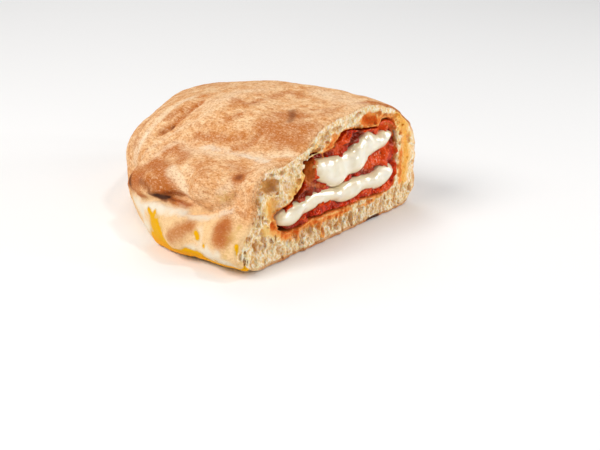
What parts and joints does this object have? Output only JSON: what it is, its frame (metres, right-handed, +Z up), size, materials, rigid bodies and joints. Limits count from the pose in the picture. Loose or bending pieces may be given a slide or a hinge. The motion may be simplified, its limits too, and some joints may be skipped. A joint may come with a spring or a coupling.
{
  "type": "cut calzone half",
  "caption": "Half of a baked calzone, cut across to show crumb, tomato sauce and melted mozzarella, lying on its flat base.",
  "frame": {"origin": "middle of the bounding box, on the plane the half rests on", "axes": "+X out of the cut face, +Y from the sealed rim towards the fold, +Z up"},
  "size_m": [0.1575, 0.1536, 0.0657],
  "materials": {
    "baked_dough": "matt baked crust, golden tan with pale flour and brown scorched spots; pale open crumb on the cut",
    "sauce": "wet, lumpy crushed tomato",
    "cheese": "smooth, glossy melted cheese, slightly see-through at the edges"
  },
  "bodies": {
    "root": {"dough": "baked_dough", "tomato_sauce": "sauce", "mozzarella_upper": "cheese", "mozzarella_lower": "cheese"}
  },
  "joints": []
}
